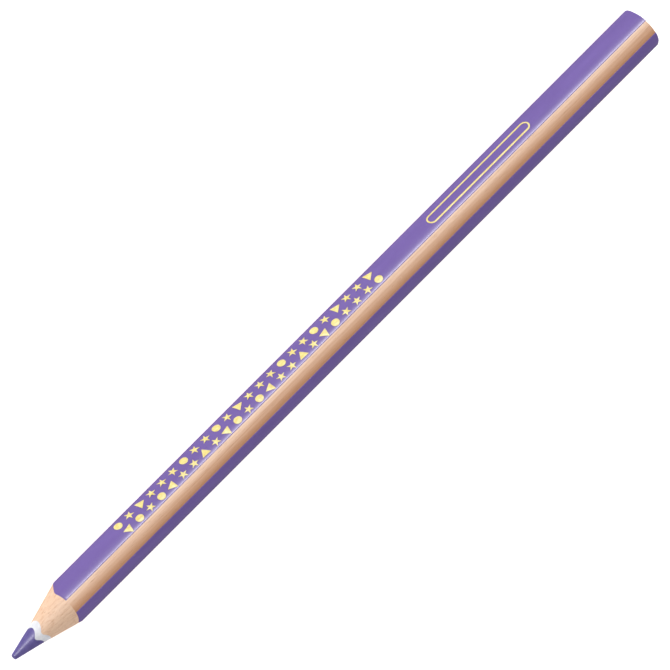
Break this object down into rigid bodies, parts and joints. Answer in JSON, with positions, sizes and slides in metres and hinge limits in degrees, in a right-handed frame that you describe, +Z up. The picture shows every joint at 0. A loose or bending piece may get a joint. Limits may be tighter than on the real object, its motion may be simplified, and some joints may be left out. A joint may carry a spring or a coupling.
{
  "type": "jumbo coloured pencil",
  "caption": "Jumbo three-sided coloured pencil, sharpened, with a coated colour core, a two-slat wooden casing, violet lacquer, bare wood corners and a pale foil print.",
  "frame": {"origin": "the centre of the pencil's bounding box, on the plane that its underside rests on", "axes": "+X runs along the pencil to its sharpened point, +Z is up from the flat underside to the top corner, and the decorated side faces -Y and up"},
  "size_m": [0.175, 0.0088, 0.0087],
  "materials": {
    "core": "waxy colour core with fine sharpening marks",
    "coating": "matte white protective coating",
    "wood": "bare pale brown wood with fine straight grain",
    "glue": "thin dried wood glue",
    "lacquer": "satin to glossy violet lacquer",
    "foil": "pale yellow-gold stamped foil"
  },
  "bodies": {
    "root": {"lead_core": "core", "core_coating": "coating", "casing_upper": "wood", "casing_lower": "wood", "glue_line_front": "glue", "glue_line_back": "glue", "lacquer_decorated": "lacquer", "lacquer_underside": "lacquer", "lacquer_plain": "lacquer", "foil_dot_01": "foil", "foil_dot_02": "foil", "foil_dot_03": "foil", "foil_dot_04": "foil", "foil_dot_05": "foil", "foil_dot_06": "foil", "foil_dot_07": "foil", "foil_dot_08": "foil", "foil_dot_09": "foil", "foil_dot_10": "foil", "foil_dot_11": "foil", "foil_star_01": "foil", "foil_star_02": "foil", "foil_star_03": "foil", "foil_star_04": "foil", "foil_star_05": "foil", "foil_star_06": "foil", "foil_star_07": "foil", "foil_star_08": "foil", "foil_star_09": "foil", "foil_star_10": "foil", "foil_star_11": "foil", "foil_star_12": "foil", "foil_star_13": "foil", "foil_star_14": "foil", "foil_star_15": "foil", "foil_star_16": "foil", "foil_star_17": "foil", "foil_star_18": "foil", "foil_star_19": "foil", "foil_star_20": "foil", "foil_star_21": "foil", "foil_star_22": "foil", "foil_star_23": "foil", "foil_star_24": "foil", "foil_star_25": "foil", "foil_star_26": "foil", "foil_triangle_01": "foil", "foil_triangle_02": "foil", "foil_triangle_03": "foil", "foil_triangle_04": "foil", "foil_triangle_05": "foil", "foil_triangle_06": "foil", "foil_triangle_07": "foil", "foil_triangle_08": "foil", "foil_triangle_09": "foil", "foil_triangle_10": "foil", "foil_triangle_11": "foil", "name_field_frame": "foil"}
  },
  "joints": []
}
